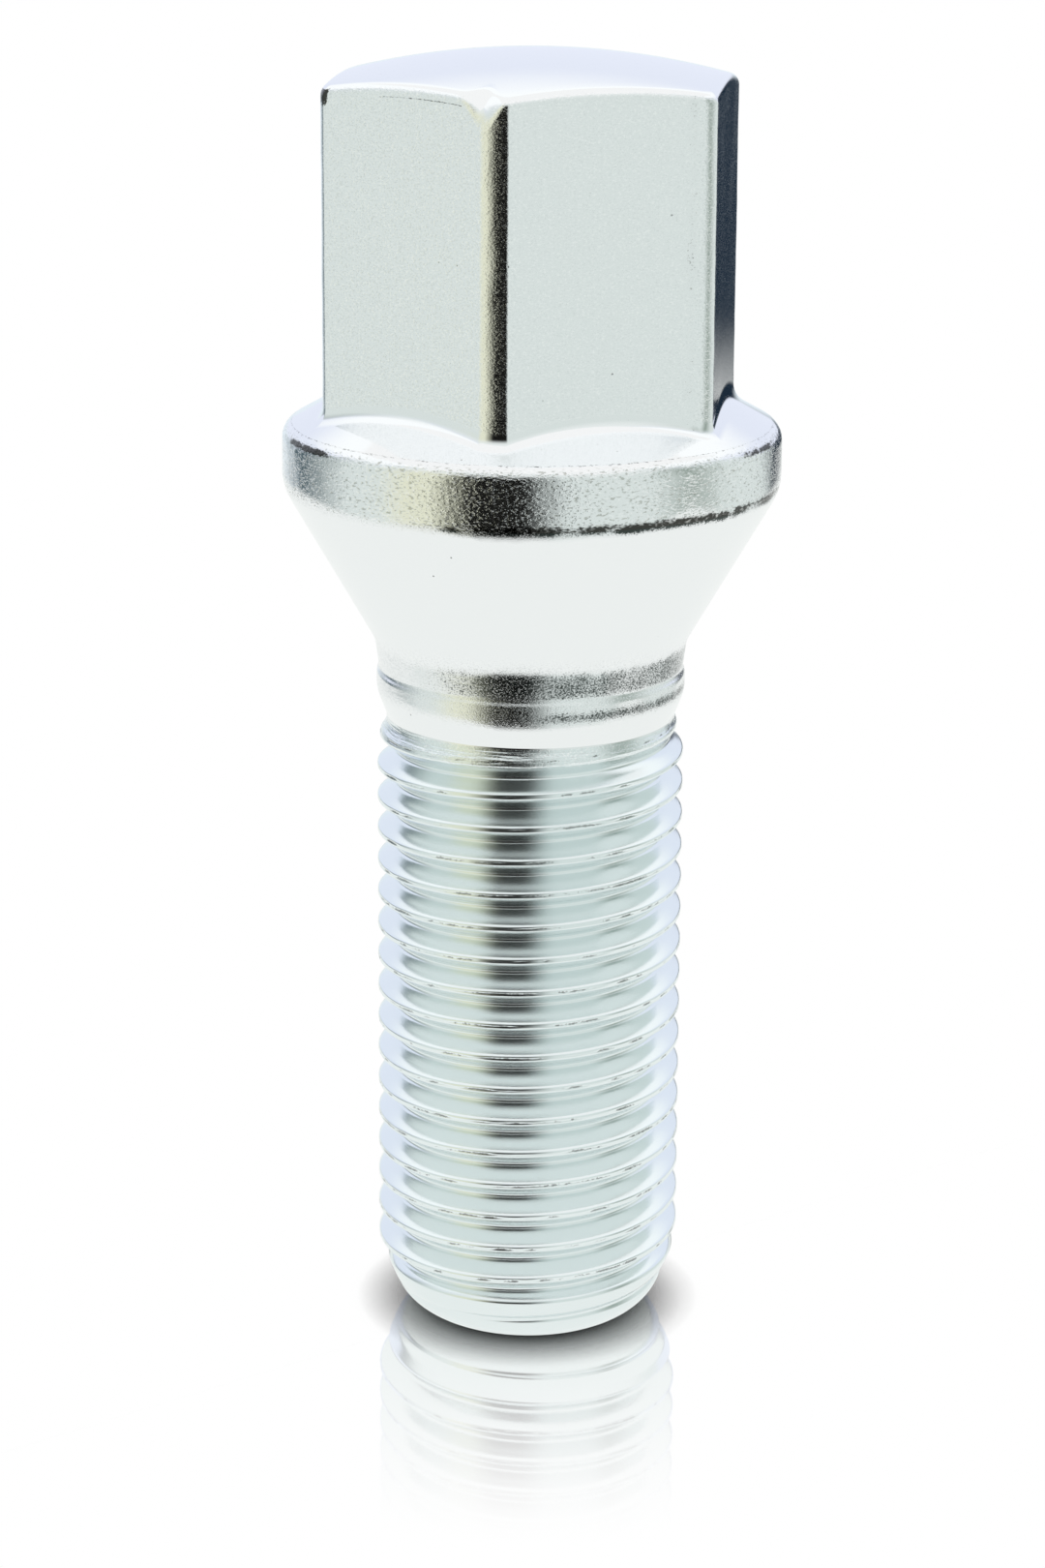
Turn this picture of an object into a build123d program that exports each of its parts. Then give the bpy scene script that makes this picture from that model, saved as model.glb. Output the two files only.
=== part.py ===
from build123d import *
from math import radians, tan
import os

# Wheel bolt: one cold-forged and plated steel piece.
# It stands on its tip: the origin is the middle of the tip's flat end, +Z runs up to the head,
# and a corner of the hexagon points to -Y. Millimetres.

# Threaded shank, at the thread's major diameter, with its length up to the last full turn
thread_major_d = 13.8
thread_length = 26.4
thread_run_out = 1.7

# Tip: a rounded lead-in above a small flat end
tip_corner_r = 5.62
tip_chamfer_height = 3.2
tip_rounding = 2.2

# Neck at the diameter of the bar before rolling, with a shoulder, a bead and a waist above it
neck_d = 13.0
neck_height = 0.4
shoulder_height = 1.1
bead_d = 13.84
bead_height = 0.4
waist_d = 13.72
waist_rise = 0.35
shank_rise = 1.4

# Cone seat, and the collar above it
seat_small_d = 14.0
seat_angle = 60
collar_d = 22.1
collar_height = 2.55
collar_rim_rounding = 0.8
collar_top_slope = 29

# Hexagonal head, measured from the collar's rim to the middle of its dome
hex_across_flats = 17.0
hex_corner_rounding = 1.2
hex_root_fillet = 0.3
head_height = 16.55
dome_radius = 34.0
dome_edge_rounding = 0.5

# Radii, and stations along the axis, that follow from the sizes above
thread_r = thread_major_d / 2
collar_r = collar_d / 2
seat_small_r = seat_small_d / 2
neck_start = thread_length + thread_run_out
shoulder_start = neck_start + neck_height
bead_start = shoulder_start + shoulder_height
waist_start = bead_start + bead_height
shank_start = waist_start + waist_rise
seat_start = shank_start + shank_rise
collar_start = seat_start + (collar_r - seat_small_r) / tan(radians(seat_angle / 2))
rim_top = collar_start + collar_height
collar_peak = rim_top + collar_r * tan(radians(collar_top_slope))
head_top = rim_top + head_height

# Corners of the turned section from the tip to the rim, each with its rounding
section_corners = [
    ((tip_corner_r, 0), tip_rounding),
    ((thread_r, tip_chamfer_height), 0),
    ((thread_r, thread_length), 0),
    ((neck_d / 2, neck_start), 0),
    ((neck_d / 2, shoulder_start), 0),
    ((bead_d / 2, bead_start), 0),
    ((bead_d / 2, waist_start), 0),
    ((waist_d / 2, shank_start), 0),
    ((seat_small_r, seat_start), 0),
    ((collar_r, collar_start), 0),
    ((collar_r, rim_top), collar_rim_rounding),
]
corner_points = [point for point, rounding in section_corners]
corner_roundings = [rounding for point, rounding in section_corners]

# Head: a hexagon with rounded corners and edges under a shallow dome, rooted inside the collar
with BuildPart() as hex_head:
    with BuildSketch(Plane.XY.offset(collar_start)):
        RegularPolygon(hex_across_flats / 2, 6, major_radius=False, rotation=30)
        fillet(vertices(), hex_corner_rounding)
    extrude(amount=head_top - collar_start)
    with Locations((0, 0, head_top - dome_radius)):
        Sphere(dome_radius, rotation=(0, 90, 0), mode=Mode.INTERSECT)
    fillet(faces().sort_by(Axis.Z)[-1].edges(), dome_edge_rounding)

# Whole bolt: the turned body with the head on it, blended into the collar's sloping top
with BuildPart() as wheel_bolt:
    with BuildSketch(Plane.XZ):
        with BuildLine():
            FilletPolyline((0, 0), *corner_points, (0, collar_peak), radius=corner_roundings)
            Line((0, collar_peak), (0, 0))
        make_face()
    revolve(axis=Axis.Z)
    add(hex_head.part)
    root_edges = edges(Select.NEW).filter_by(GeomType.LINE, reverse=True)
    fillet(root_edges.filter_by_position(Axis.Z, rim_top, collar_peak), hex_root_fillet)

wheel_bolt.part.label = "wheel_bolt"
os.makedirs("parts", exist_ok=True)
export_step(wheel_bolt.part, "parts/wheel_bolt.step")
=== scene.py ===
"""Looks of the wheel bolt: its rolled thread, forged head and bright plating, in a plain pale studio."""

import logging
import math
from dataclasses import dataclass, field
from enum import Enum

import bmesh
import bpy
from mathutils import Matrix, Vector, noise

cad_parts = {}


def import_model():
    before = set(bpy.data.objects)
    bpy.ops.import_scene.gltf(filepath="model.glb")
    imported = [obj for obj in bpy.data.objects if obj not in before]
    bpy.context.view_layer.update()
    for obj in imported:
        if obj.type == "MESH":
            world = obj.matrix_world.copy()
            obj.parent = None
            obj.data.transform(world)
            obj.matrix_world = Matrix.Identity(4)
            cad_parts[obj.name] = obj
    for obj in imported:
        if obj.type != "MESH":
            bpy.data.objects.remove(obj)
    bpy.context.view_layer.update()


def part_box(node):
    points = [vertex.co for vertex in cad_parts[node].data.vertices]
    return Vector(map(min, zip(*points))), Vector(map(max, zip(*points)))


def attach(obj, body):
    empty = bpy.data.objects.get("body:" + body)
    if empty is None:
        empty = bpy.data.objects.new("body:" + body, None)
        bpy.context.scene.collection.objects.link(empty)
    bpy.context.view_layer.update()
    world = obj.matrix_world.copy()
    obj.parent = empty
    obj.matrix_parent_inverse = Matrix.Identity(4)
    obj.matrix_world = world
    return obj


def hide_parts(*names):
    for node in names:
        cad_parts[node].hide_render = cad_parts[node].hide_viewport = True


MM = 0.001
NODE = "wheel_bolt"

FULL_TURN = 2 * math.pi
SIDES = 6
HALF_SIDE = math.pi / SIDES

# Layers of values on the skin's points: strength of the grain, and darkness of painted shade, painted
# reflections and marks
GRAIN_LAYER = "grain"
DARK_LAYER = "dark"

# Sockets of the colour Mix node
MIX_SHARE = 0
MIX_FIRST = 6
MIX_SECOND = 7
MIX_RESULT = 2

log = logging.getLogger(NODE)

Point = tuple[float, float]
Colour = tuple[float, float, float]
Ring = list[bmesh.types.BMVert]
Inputs = dict[str | int, object]


class Zone(Enum):
    """Stretches of the bolt's skin, numbered as its material slots."""

    HEAD = 0
    COLLAR = 1
    SEAT = 2
    THREAD = 3


# Small tools for sections and surfaces


def mix(start: float, end: float, share: float) -> float:
    """Value between start and end."""
    return start + (end - start) * share


def between(start: Point, end: Point, share: float) -> Point:
    """Point on the straight line from start to end."""
    return mix(start[0], end[0], share), mix(start[1], end[1], share)


def around(radius: float, angle: float, height: float) -> Vector:
    """Place at a radius and an angle round the bolt's axis."""
    return Vector((radius * math.cos(angle), radius * math.sin(angle), height))


def peak(value: float, middle: float, half: float) -> float:
    """Straight rise to 1 at the middle, from 0 at half a width on each side."""
    return max(0.0, 1 - abs(value - middle) / half)


def soft_min(first: float, second: float, blend: float) -> float:
    """Lower of two values, with a rounded change-over.

    Args:
        first: One value.
        second: The other value.
        blend: Difference below which the change-over is rounded.

    Returns:
        The blended lower value.
    """
    overlap = max(blend - abs(first - second), 0.0) / blend
    return min(first, second) - overlap * overlap * blend / 4


def soft_step(start: float, end: float, value: float) -> float:
    """Smooth rise from 0 at start to 1 at end.

    Args:
        start: Where the rise begins.
        end: Where the rise ends.
        value: Where the rise is read.

    Returns:
        A share from 0 to 1.
    """
    share = min(max((value - start) / (end - start), 0.0), 1.0)
    return share * share * (3 - 2 * share)


def ripple(place: Vector, size: float) -> float:
    """Smooth unevenness of a forged skin.

    Args:
        place: Where it is read, in millimetres.
        size: Breadth of one ripple, in millimetres.

    Returns:
        A value around 0, mostly from -0.6 to 0.6.
    """
    return noise.noise(place / size)


@dataclass(frozen=True)
class Roughness:
    """Smooth unevenness in a coarse and a fine layer. Sizes in millimetres."""

    coarse: float
    fine: float
    fine_share: float

    def at(self, place: Vector) -> float:
        """Unevenness at a place, around 0."""
        return ripple(place, self.coarse) + self.fine_share * ripple(place, self.fine)


@dataclass(frozen=True)
class Patches:
    """A level that swings smoothly from place to place. Size in millimetres."""

    level: float
    swing: float
    size: float

    def at(self, place: Vector) -> float:
        """Level at a place."""
        return self.level + self.swing * ripple(place, self.size)


@dataclass(frozen=True)
class Stretch:
    """A stretch round the axis with soft ends.

    The middle is an angle in radians. Start and full are cosines of the angle away from it.
    """

    middle: float
    start: float
    full: float

    def share(self, angle: float) -> float:
        """Share of the stretch at an angle, from 0 outside it to 1."""
        return soft_step(self.start, self.full, math.cos(angle - self.middle))


def round_corner(start: Point, corner: Point, end: Point, radius: float, steps: int) -> list[Point]:
    """Arc that rounds one corner of a section.

    Args:
        start: A point on the line that runs into the corner.
        corner: The sharp corner.
        end: A point on the line that leaves the corner.
        radius: Radius of the arc.
        steps: Number of chords in the arc.

    Returns:
        The arc's points, from the first line to the second.
    """
    heading_in = math.atan2(corner[1] - start[1], corner[0] - start[0])
    heading_out = math.atan2(end[1] - corner[1], end[0] - corner[0])
    turn = (heading_out - heading_in + math.pi) % FULL_TURN - math.pi
    setback = radius * math.tan(abs(turn) / 2)
    arm = math.copysign(radius, turn)
    centre_x = corner[0] - setback * math.cos(heading_in) - arm * math.sin(heading_in)
    centre_y = corner[1] - setback * math.sin(heading_in) + arm * math.cos(heading_in)
    arc = []
    for step in range(steps + 1):
        heading = heading_in + turn * step / steps
        arc.append((centre_x + arm * math.sin(heading), centre_y - arm * math.cos(heading)))
    return arc


def straight_run(start: Point, end: Point, longest: float, hold: float) -> list[Point]:
    """Points between the ends of a straight stretch, close to each end so that its shading stays flat.

    Args:
        start: First end, which isn't repeated.
        end: Second end, which isn't repeated.
        longest: Longest step in the middle of the stretch.
        hold: Distance of the first and last point from the ends.

    Returns:
        The points inside the stretch.
    """
    length = math.dist(start, end)
    if length < 3 * hold:
        return []
    pieces = max(1, math.ceil((length - 2 * hold) / longest))
    places = [mix(hold, length - hold, piece / pieces) for piece in range(pieces + 1)]
    return [between(start, end, place / length) for place in places]


def ring_order(vertex: bmesh.types.BMVert) -> float:
    """Angle of a vertex around the axis, from 0 to a full turn."""
    return math.atan2(vertex.co.y, vertex.co.x) % FULL_TURN


def join_rings(body: bmesh.types.BMesh, lower: Ring, upper: Ring) -> list[bmesh.types.BMFace]:
    """Close the band between two rings that have different numbers of points.

    Args:
        body: Mesh that holds both rings.
        lower: Ring that is nearer to the tip.
        upper: Ring that is nearer to the head.

    Returns:
        The triangles of the band.
    """
    lower = sorted(lower, key=ring_order)
    upper = sorted(upper, key=ring_order)
    faces = []
    low = 0
    high = 0
    while low < len(lower) or high < len(upper):
        after_low = lower[(low + 1) % len(lower)]
        after_high = upper[(high + 1) % len(upper)]
        next_low = ring_order(after_low) + FULL_TURN * ((low + 1) // len(lower))
        next_high = ring_order(after_high) + FULL_TURN * ((high + 1) // len(upper))
        low_vertex = lower[low % len(lower)]
        high_vertex = upper[high % len(upper)]
        if high == len(upper) or (low < len(lower) and next_low <= next_high):
            faces.append(body.faces.new((low_vertex, after_low, high_vertex)))
            low += 1
        else:
            faces.append(body.faces.new((low_vertex, after_high, high_vertex)))
            high += 1
    return faces


def link_object(name: str, data: bpy.types.ID) -> bpy.types.Object:
    """Put a mesh, a camera or a light into the scene as an object."""
    item = bpy.data.objects.new(name, data)
    bpy.context.scene.collection.objects.link(item)
    return item


# The bolt's form, from the tip to the head


@dataclass
class RoundedTip:
    """The tip's rounded lead-in above its small flat end. Millimetres."""

    corner_r: float = 5.62
    chamfer_height: float = 3.2
    rounding: float = 2.2
    thread_r: float = 6.9
    cut_height: float = 0.6
    arc_steps: int = 8
    flat_rings: int = 4
    columns: int = 168

    @property
    def slope(self) -> float:
        """Widening of the lead-in for each millimetre of height."""
        return (self.thread_r - self.corner_r) / self.chamfer_height

    @property
    def setback(self) -> float:
        """Distance from the sharp corner to each end of its rounding."""
        return self.rounding * math.tan(math.atan2(1, self.slope) / 2)

    @property
    def flat_r(self) -> float:
        """Radius of the flat end."""
        return self.corner_r - self.setback

    def radius_at(self, height: float) -> float:
        """Radius of the lead-in at a height above the flat end."""
        arc_top = self.setback * math.cos(math.atan(self.slope))
        if height >= arc_top:
            return self.corner_r + self.slope * height
        drop = self.rounding - max(height, 0.0)
        return self.flat_r + math.sqrt(max(self.rounding**2 - drop**2, 0.0))

    def section(self) -> list[Point]:
        """Radius and height of each ring, from below the thread's cut to the last ring of the flat end."""
        full_swing = math.acos(1 - self.cut_height / self.rounding)
        points = []
        for step in range(1, self.arc_steps + 1):
            swing = full_swing * (1 - step / self.arc_steps)
            radius = self.flat_r + self.rounding * math.sin(swing)
            points.append((radius, self.rounding * (1 - math.cos(swing))))
        for step in range(1, self.flat_rings):
            points.append((self.flat_r * (1 - step / self.flat_rings), 0.0))
        return points

    def build(self, body: bmesh.types.BMesh, open_ring: Ring) -> None:
        """Close the tip below the thread's cut.

        Args:
            body: Mesh of the bolt.
            open_ring: The thread's lower open edge, at the cut height.
        """
        angles = [FULL_TURN * column / self.columns for column in range(self.columns)]
        above = None
        faces = []
        for radius, height in self.section():
            ring = [body.verts.new(around(radius, angle, height)) for angle in angles]
            if above is None:
                faces += join_rings(body, ring, open_ring)
            else:
                for column in range(self.columns):
                    after = (column + 1) % self.columns
                    faces.append(body.faces.new((ring[column], ring[after], above[after], above[column])))
            above = ring
        middle = body.verts.new((0.0, 0.0, 0.0))
        for column in range(self.columns):
            faces.append(body.faces.new((middle, above[(column + 1) % self.columns], above[column])))
        for face in faces:
            face.material_index = Zone.THREAD.value


@dataclass
class RolledThread:
    """The right-hand rolled thread between the rounded tip and the bare neck. Millimetres and degrees."""

    tip: RoundedTip
    depth: float = 0.86
    pitch: float = 1.5
    crest_width: float = 0.27
    crest_blend: float = 0.16
    root_blend: float = 0.2
    tip_blend: float = 0.12
    flank_angle: float = 30.0
    crest_on_x: float = 1.023
    last_full_turn: float = 26.3
    root_rise: Point = (26.4, 27.9)
    grain_rise: Point = (27.0, 27.6)
    neck_start: float = 28.15
    neck_r: float = 6.48
    cut_height: float = 28.17
    cut_margin: float = 0.0005
    seam_depth: float = 0.035
    seam_width: float = 0.08
    seam_sway: float = 0.4
    seam_rough: Roughness = Roughness(0.9, 0.18, 0.7)
    seam_open: Point = (-0.3, 0.5)
    spare_turns: int = 2
    stations: tuple[float, ...] = (0.0, 0.045, 0.09, 0.14, 0.2, 0.28, 0.5, 0.74, 0.87, 1.0)

    def offsets(self) -> list[float]:
        """Places across one pitch where the section has a point, from the root below the crest upwards."""
        half = [share * self.pitch / 2 for share in self.stations]
        return [-place for place in reversed(half[1:])] + half[:-1]

    def rise(self, offset: float) -> float:
        """Share of the thread's depth at an axial offset from the middle of the crest."""
        run = self.depth * math.tan(math.radians(self.flank_angle))
        flank = 1 - (abs(offset) - self.crest_width / 2) / run
        rounded = soft_min(flank, 1.0, self.crest_blend)
        return -soft_min(-rounded, 0.0, self.root_blend)

    def radius_at(self, offset: float, height: float) -> float:
        """Radius of the thread's surface.

        Args:
            offset: Axial offset from the middle of the crest.
            height: Height above the flat end.

        Returns:
            The radius, which runs out into the neck and into the tip.
        """
        if height >= self.neck_start:
            return self.neck_r
        major_r = self.tip.thread_r
        run_out = max(height - self.last_full_turn, 0.0) / (self.neck_start - self.last_full_turn)
        crest_r = mix(major_r, self.neck_r, run_out**2)
        root_r = mix(major_r - self.depth, self.neck_r, soft_step(*self.root_rise, height))
        radius = root_r + max(crest_r - root_r, 0.0) * self.rise(offset)
        return soft_min(radius, self.tip.radius_at(height), self.tip_blend)

    def seam_at(self, offset: float, place: Vector) -> float:
        """How open the rolled seam in the middle of the crest is, from 0 to 1. It sinks the seam and paints
        shade into it.
        """
        if place.z > self.neck_start or place.z < self.tip.chamfer_height:
            return 0.0
        middle = self.seam_sway * self.seam_width * ripple(place, self.seam_rough.coarse)
        opening = soft_step(*self.seam_open, self.seam_rough.at(place))
        return opening * peak(offset, middle, self.seam_width)

    def wind(self, body: bmesh.types.BMesh) -> list[Ring]:
        """Place the points of the thread.

        Args:
            body: Mesh of the bolt.

        Returns:
            Short rows of points across the strip, one after another up the helix.
        """
        dark_layer = body.verts.layers.float[DARK_LAYER]
        grain_layer = body.verts.layers.float[GRAIN_LAYER]
        offsets = self.offsets()
        first_crest = self.crest_on_x - self.spare_turns * self.pitch
        turns = math.ceil((self.cut_height - first_crest) / self.pitch) + self.spare_turns
        rows = []
        for step in range(turns * self.tip.columns + 1):
            turned = step / self.tip.columns
            row = []
            for offset in offsets:
                height = first_crest + self.pitch * turned + offset
                radius = self.radius_at(offset, height)
                seam = self.seam_at(offset, around(radius, FULL_TURN * turned, height))
                sunk = radius - self.seam_depth * seam
                vertex = body.verts.new(around(sunk, FULL_TURN * turned, height))
                # The seam's opening is also painted shade in its groove
                vertex[dark_layer] = seam
                vertex[grain_layer] = soft_step(*self.grain_rise, height)
                row.append(vertex)
            rows.append(row)
        return rows

    def build(self, body: bmesh.types.BMesh) -> tuple[Ring, Ring]:
        """Wind the thread as one helical strip and cut its ends square.

        Args:
            body: Mesh of the bolt.

        Returns:
            The lower and the upper open ring.
        """
        rows = self.wind(body)
        for row, next_turn in zip(rows, rows[self.tip.columns :]):
            row.append(next_turn[0])
        for row, after in zip(rows, rows[1:]):
            for place in range(min(len(row), len(after)) - 1):
                face = body.faces.new((row[place], after[place], after[place + 1], row[place + 1]))
                face.material_index = Zone.THREAD.value
        return self.cut(body, self.tip.cut_height, True), self.cut(body, self.cut_height, False)

    def cut(self, body: bmesh.types.BMesh, height: float, below: bool) -> Ring:
        """Cut the strip square to the axis.

        Args:
            body: Mesh of the bolt.
            height: Height of the cut.
            below: Whether the part below the cut goes, or the part above it.

        Returns:
            The open ring at the cut.
        """
        bmesh.ops.bisect_plane(
            body,
            geom=body.verts[:] + body.edges[:] + body.faces[:],
            dist=self.cut_margin,
            plane_co=(0.0, 0.0, height),
            plane_no=(0.0, 0.0, 1.0),
            clear_inner=below,
            clear_outer=not below,
        )
        return [vertex for vertex in body.verts if abs(vertex.co.z - height) < 2 * self.cut_margin]


@dataclass(frozen=True)
class HexCorner:
    """Form of one upright edge of the hexagon, in millimetres and degrees.

    A rounding leaves the flat before the edge and ends short of the flat after it. An easing below 1
    bends it more at its start.
    """

    rounding: float
    end_swing: float
    easing: float = 1.0

    def points(self, apothem: float, steps: int) -> list[Point]:
        """Points of the edge across the corner's own direction.

        Args:
            apothem: Distance from the axis to each flat, in millimetres.
            steps: Number of chords in the rounding.

        Returns:
            Distances along the corner's direction and to its left-hand side, from flat to flat.
        """
        sweep = math.radians(self.end_swing) + HALF_SIDE
        chord = self.rounding * sweep / steps
        along = 0.0
        across = 0.0
        points = [(along, across)]
        for step in range(steps):
            swing = sweep * ((step + 0.5) / steps) ** self.easing - HALF_SIDE
            along -= chord * math.sin(swing)
            across += chord * math.cos(swing)
            points.append((along, across))
        gained = along * math.cos(HALF_SIDE) + across * math.sin(HALF_SIDE)
        slide = (apothem / 2 - gained) / math.sin(2 * HALF_SIDE)
        start_along = apothem * math.cos(HALF_SIDE) + slide * math.sin(HALF_SIDE)
        start_across = slide * math.cos(HALF_SIDE) - apothem * math.sin(HALF_SIDE)
        return [(start_along + along, start_across + across) for along, across in points]


@dataclass
class Column:
    """One upright line of points around the forged body.

    It has its side of the hexagon, its share of the way along that flat, its nearness to a corner and its
    share of the raised lip beside the next edge.
    """

    angle: float
    hex_r: float
    side: int
    share: float = 0.0
    corner: float = 1.0
    lip: float = 0.0


@dataclass
class ForgedBody:
    """Neck, cone seat, collar and hexagonal head above the thread. Millimetres and degrees."""

    collar_r: float
    head_top: float
    neck_r: float
    neck_lap: float = 0.04
    neck_rounding: float = 0.08
    shoulder_start: float = 28.25
    shoulder_rounding: float = 1.9
    bead_r: float = 6.92
    bead_start: float = 29.38
    bead_rounding: float = 0.35
    waist_start: float = 30.2
    waist_r: float = 6.82
    waist_rounding: float = 0.3
    shank_start: float = 30.42
    seat_start: float = 31.75
    seat_small_r: float = 7.0
    seat_angle: float = 60.0
    seat_rounding: float = 1.6
    collar_height: float = 2.55
    collar_top_slope: float = 29.0
    under_rounding: float = 2.2
    under_lap: float = 0.1
    rim_rounding: float = 0.8
    rim_lap: float = 0.2
    hex_across_flats: float = 17.0
    hex_corners: tuple[HexCorner, ...] = (
        HexCorner(2.1, 4.0, 0.55),
        HexCorner(1.3, 4.0),
        HexCorner(1.3, 16.0),
        HexCorner(1.6, 8.0),
        HexCorner(1.3, 10.0),
        HexCorner(1.3, 6.0),
    )
    hex_root_fillet: float = 0.95
    lip_width: float = 0.22
    lip_place: float = 0.45
    lip_sides: tuple[float, ...] = (1.0, 0.4, 0.7, 0.3, 0.6, 0.0)
    dome_radius: float = 34.0
    dome_chord: float = 1.0
    dome_edge_rounding: float = 0.55
    worn_rounding: float = 1.25
    worn_place: float = -0.65
    worn_half: float = 1.0
    corner_steps: int = 12
    corner_reach: float = 0.5
    flat_steps: int = 26
    flat_easing: float = 0.6
    edge_share: float = 0.012
    slope_shares: tuple[float, ...] = (0.04, 0.27, 0.5, 0.73, 0.96)
    wall_step: float = 0.42
    hold: float = 0.05
    arc_steps: int = 6
    edge_steps: int = 7
    dome_rows: int = 16
    dome_start: float = 0.15

    @property
    def collar_start(self) -> float:
        """Height where the cone seat meets the collar's band."""
        half_angle = math.radians(self.seat_angle / 2)
        return self.seat_start + (self.collar_r - self.seat_small_r) / math.tan(half_angle)

    @property
    def rim_top(self) -> float:
        """Height of the collar's rim before it is rounded."""
        return self.collar_start + self.collar_height

    def slope_height(self, radius: float) -> float:
        """Height of the collar's sloping top at a radius."""
        return self.rim_top + (self.collar_r - radius) * math.tan(math.radians(self.collar_top_slope))

    def dome_height(self, radius: float) -> float:
        """Height of the shallow dome at a radius."""
        return self.head_top - self.dome_radius + math.sqrt(self.dome_radius**2 - radius**2)

    def edge_rounding(self, column: Column) -> float:
        """Rounding between wall and dome, larger where the front corner is worn."""
        if math.sin(column.angle) > 0:
            return self.dome_edge_rounding
        away = abs(column.hex_r * math.cos(column.angle) - self.worn_place)
        return self.dome_edge_rounding + self.worn_rounding * (1 - soft_step(0.0, self.worn_half, away))

    def columns(self) -> list[Column]:
        """Upright lines around the body, close together at the hexagon's rounded corners."""
        apothem = self.hex_across_flats / 2
        edges = [corner.points(apothem, self.corner_steps) for corner in self.hex_corners]
        shares = [step / self.flat_steps for step in range(1, self.flat_steps)]
        columns = []
        for side in range(SIDES):
            corner_angle = FULL_TURN * side / SIDES - math.pi / 2
            for along, across in edges[side]:
                angle = corner_angle + math.atan2(across, along)
                columns.append(Column(angle, math.hypot(along, across), side))
            start = self.along_flat(edges[side][-1], HALF_SIDE)
            end = self.along_flat(edges[(side + 1) % SIDES][0], -HALF_SIDE)
            for share in [self.edge_share, *shares, 1 - self.edge_share]:
                eased = mix(share, (1 - math.cos(math.pi * share)) / 2, self.flat_easing)
                across = mix(start, end, eased)
                near = peak(min(across - start, end - across), 0.0, self.corner_reach)
                lip = self.lip_sides[side] * peak(end - across, self.lip_place, self.lip_width)
                angle = corner_angle + HALF_SIDE + math.atan2(across, apothem)
                columns.append(Column(angle, math.hypot(apothem, across), side, share, near, lip))
        return columns

    @staticmethod
    def along_flat(point: Point, turn: float) -> float:
        """Distance of a corner's end from the middle of the flat beside it.

        Args:
            point: The end, along the corner's direction and across it.
            turn: Angle from the corner to the middle of the flat, in radians.

        Returns:
            The distance, in the direction round the axis.
        """
        return point[1] * math.cos(turn) - point[0] * math.sin(turn)

    def turned_section(self) -> list[Point]:
        """Radius and height of the turned stretch, from the neck to the end of the rim's rounding."""
        hex_corner = self.hex_across_flats / 2 / math.cos(HALF_SIDE)
        corners = [
            ((self.neck_r, self.shoulder_start - self.neck_lap), 0.0),
            ((self.neck_r, self.shoulder_start), self.neck_rounding),
            ((self.bead_r, self.bead_start), self.shoulder_rounding),
            ((self.bead_r, self.waist_start), self.bead_rounding),
            ((self.waist_r, self.shank_start), self.waist_rounding),
            ((self.seat_small_r, self.seat_start), self.seat_rounding),
            ((self.collar_r, self.collar_start), self.under_rounding),
            ((self.collar_r, self.rim_top), self.rim_rounding),
            ((hex_corner, self.slope_height(hex_corner)), 0.0),
        ]
        section = [corners[0][0]]
        for before, (corner, rounding), after in zip(corners, corners[1:], corners[2:]):
            arc = round_corner(before[0], corner, after[0], rounding, self.arc_steps)
            section += straight_run(section[-1], arc[0], self.wall_step, self.hold)
            section += arc
        return section

    def head_section(self, column: Column, rim_end: Point) -> list[Point]:
        """Radius and height of one column from the rim's rounding to the last ring of the dome.

        Args:
            column: The upright line.
            rim_end: Where the turned stretch ends.

        Returns:
            The section's points, the same number for every column.
        """
        wall_r = column.hex_r
        root = (wall_r, self.slope_height(wall_r))
        edge = (wall_r, self.dome_height(wall_r))
        inside = (wall_r - self.dome_chord, self.dome_height(wall_r - self.dome_chord))
        root_arc = round_corner(rim_end, root, edge, self.hex_root_fillet, self.arc_steps)
        edge_arc = round_corner(root, edge, inside, self.edge_rounding(column), self.edge_steps)
        section = [between(rim_end, root_arc[0], share) for share in self.slope_shares]
        section += root_arc
        start = root_arc[-1][1]
        length = edge_arc[0][1] - start
        inset = 2 * self.hold
        rows = round((self.head_top - self.rim_top) / self.wall_step)
        places = [mix(inset, length - inset, row / rows) for row in range(rows + 1)]
        section += [(wall_r, start + place) for place in [self.hold, *places, length - self.hold]]
        section += edge_arc
        for row in range(self.dome_rows):
            radius = edge_arc[-1][0] * (1 - (row + self.dome_start) / self.dome_rows)
            section.append((radius, self.dome_height(radius)))
        return section

    def zone_of(self, radius: float, height: float) -> Zone:
        """Finish of the skin at a radius and height."""
        if height < self.collar_start - self.under_lap:
            return Zone.SEAT
        if height < self.rim_top + self.rim_lap and radius > self.collar_r - self.rim_rounding:
            return Zone.COLLAR
        return Zone.HEAD

    def build(self, body: bmesh.types.BMesh, open_ring: Ring) -> None:
        """Add the forged body above the thread.

        Args:
            body: Mesh of the bolt.
            open_ring: The thread's upper open edge.
        """
        dark_layer = body.verts.layers.float[DARK_LAYER]
        grain_layer = body.verts.layers.float[GRAIN_LAYER]
        skin = ForgedSkin(self)
        turned = self.turned_section()
        columns = self.columns()
        sections = [turned + self.head_section(column, turned[-1]) for column in columns]
        lines = []
        for column, section in zip(columns, sections):
            line = []
            for radius, height in section:
                swollen = radius + skin.uneven(column, radius, height)
                vertex = body.verts.new(around(swollen, column.angle, height))
                vertex[dark_layer] = skin.painted_dark_and_marks_of(column, radius, height)
                vertex[grain_layer] = skin.grain_of(column, radius, height)
                line.append(vertex)
            # The last ring of the rim's rounding gets a line of painted shade
            line[len(turned) - 1][dark_layer] = skin.rim_shade_line
            lines.append(line)
        for face in join_rings(body, open_ring, [line[0] for line in lines]):
            face.material_index = Zone.SEAT.value
        top = body.verts.new((0.0, 0.0, self.head_top))
        for index, line in enumerate(lines):
            after = lines[(index + 1) % len(lines)]
            for row in range(len(line) - 1):
                face = body.faces.new((line[row], after[row], after[row + 1], line[row + 1]))
                face.material_index = self.zone_of(*sections[index][row]).value
            body.faces.new((line[-1], after[-1], top)).material_index = Zone.HEAD.value


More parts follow.
